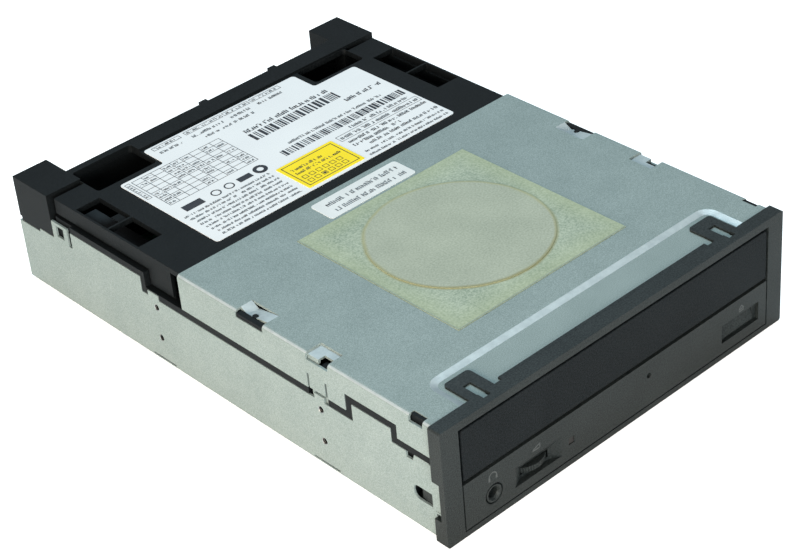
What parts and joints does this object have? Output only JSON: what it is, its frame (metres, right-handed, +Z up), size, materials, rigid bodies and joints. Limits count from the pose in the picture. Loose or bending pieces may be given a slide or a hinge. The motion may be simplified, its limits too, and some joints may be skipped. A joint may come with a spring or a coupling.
{
  "type": "disc drive",
  "caption": "Half-height disc drive with a sliding tray, steel shells joined by a zigzag seam, a black bezel with front controls and a rear row of connectors.",
  "frame": {"origin": "centre of the overall footprint at the lowest edge of the front bezel", "axes": "+X to the right seen from the front, +Y from the front bezel to the rear connectors, +Z up"},
  "size_m": [0.148, 0.208, 0.0416],
  "materials": {
    "zinc_steel": "zinc-coated sheet, fine grain",
    "bright_steel": "ground",
    "screw_steel": "plated",
    "black_plastic": "fine texture",
    "grey_plastic": "moulded",
    "white_nylon": "moulded",
    "brass": "plated",
    "belt_rubber": "smooth",
    "lens_glass": "clear with a blue sheen",
    "lamp_plastic": "translucent amber",
    "circuit_board": "green lacquer",
    "chip_plastic": "moulded",
    "capacitor_sleeve": "shrink sleeve",
    "ribbon_plastic": "smooth",
    "film": "clear film with a green and yellow tint",
    "paper": "coated paper",
    "yellow_paper": "coated paper"
  },
  "bodies": {
    "drive": {"bottom_chassis": "zinc_steel", "top_cover": "zinc_steel", "rear_cover": "black_plastic", "main_frame": "black_plastic", "front_bezel": "black_plastic", "loading_motor": "bright_steel", "drive_belt": "belt_rubber", "clamp_bridge": "zinc_steel", "bridge_screws": "screw_steel", "volume_pot": "grey_plastic", "headphone_jack": "black_plastic", "busy_lamp": "lamp_plastic", "eject_switch": "grey_plastic", "front_board": "circuit_board", "main_board": "circuit_board", "board_screws": "screw_steel", "bus_chip": "chip_plastic", "servo_chip": "chip_plastic", "decoder_chip": "chip_plastic", "memory_chip": "chip_plastic", "capacitors": "capacitor_sleeve", "panel_ribbon": "ribbon_plastic", "ribbon_sockets": "ribbon_plastic", "bus_connector": "black_plastic", "bus_pins": "brass", "power_connector": "ribbon_plastic", "power_pins": "bright_steel", "jumper_block": "black_plastic", "jumper_pins": "brass", "jumper_shunt": "black_plastic", "audio_connector": "black_plastic", "audio_pins": "brass", "film_patch": "film", "small_label": "paper", "rating_label": "paper", "notice_sticker": "yellow_paper", "chassis_screws": "screw_steel"},
    "tray_group": {"tray": "grey_plastic", "tray_lid": "black_plastic"},
    "tray_gear_group": {"tray_gear": "white_nylon"},
    "pulley_gear_group": {"pulley_gear": "white_nylon"},
    "motor_pulley_group": {"motor_pulley": "brass"},
    "cam_slider_group": {"cam_slider": "white_nylon"},
    "lifter_group": {"lifter": "black_plastic", "dampers": "belt_rubber", "damper_screws": "screw_steel", "mechanism_plate": "zinc_steel", "guide_rods": "bright_steel", "sled_motor": "bright_steel", "spindle_motor": "bright_steel"},
    "spindle_group": {"turntable": "black_plastic", "seat_ring": "belt_rubber"},
    "clamper_group": {"clamper": "black_plastic", "clamp_magnet": "bright_steel"},
    "pickup_group": {"pickup_sled": "black_plastic", "objective_lens": "lens_glass"},
    "screw_group": {"lead_screw": "bright_steel"},
    "dial_group": {"volume_dial": "black_plastic"},
    "button_group": {"eject_button": "black_plastic"}
  },
  "joints": [
    {"name": "tray_slide", "type": "slide", "parent": "drive", "child": "tray_group", "axis": [0, -1, 0], "range_m": [0, 0.13823]},
    {"name": "tray_gear_spin", "type": "hinge", "parent": "drive", "child": "tray_gear_group", "pos_m": [-0.0454, -0.078, 0.022], "axis": [0, 0, 1], "range_deg": [0, 662]},
    {"name": "pulley_gear_spin", "type": "hinge", "parent": "drive", "child": "pulley_gear_group", "pos_m": [-0.0284, -0.078, 0.018], "axis": [0, 0, 1], "range_deg": [-1586, 0]},
    {"name": "motor_pulley_spin", "type": "hinge", "parent": "drive", "child": "motor_pulley_group", "pos_m": [0.026, -0.078, 0.017], "axis": [0, 0, 1], "range_deg": [-6320, 0]},
    {"name": "lifter_tilt", "type": "hinge", "parent": "drive", "child": "lifter_group", "pos_m": [0, 0.048, 0.0145], "axis": [1, 0, 0], "range_deg": [0, 4.5]},
    {"name": "cam_slide", "type": "slide", "parent": "drive", "child": "cam_slider_group", "axis": [1, 0, 0], "range_m": [0, 0.0121]},
    {"name": "spindle_spin", "type": "hinge", "parent": "lifter_group", "child": "spindle_group", "pos_m": [0, -0.0363, 0.028], "axis": [0, 0, 1], "continuous": true},
    {"name": "clamper_spin", "type": "hinge", "parent": "drive", "child": "clamper_group", "pos_m": [0, -0.0363, 0.033], "axis": [0, 0, 1], "continuous": true},
    {"name": "pickup_slide", "type": "slide", "parent": "lifter_group", "child": "pickup_group", "axis": [0, 1, 0], "range_m": [0, 0.034]},
    {"name": "screw_spin", "type": "hinge", "parent": "lifter_group", "child": "screw_group", "pos_m": [0.0286, 0, 0.0155], "axis": [0, 1, 0], "range_deg": [-4090, 0]},
    {"name": "dial_turn", "type": "hinge", "parent": "drive", "child": "dial_group", "pos_m": [-0.0369, -0.0958, 0.0081], "axis": [0, 0, 1], "range_deg": [-135, 135]},
    {"name": "eject_press", "type": "slide", "parent": "drive", "child": "button_group", "axis": [0, 1, 0], "range_m": [0, 0.0012], "stiffness_N_per_m": 600}
  ],
  "couplings": [
    {"joint": "tray_gear_spin", "follows": "tray_slide", "rad_per_m": 83.333},
    {"joint": "pulley_gear_spin", "follows": "tray_slide", "rad_per_m": -200},
    {"joint": "motor_pulley_spin", "follows": "tray_slide", "rad_per_m": -796.72},
    {"joint": "cam_slide", "follows": "lifter_tilt", "m_per_rad": 0.15279},
    {"joint": "clamper_spin", "follows": "spindle_spin", "ratio": 1},
    {"joint": "screw_spin", "follows": "pickup_slide", "rad_per_m": -2094.4}
  ]
}
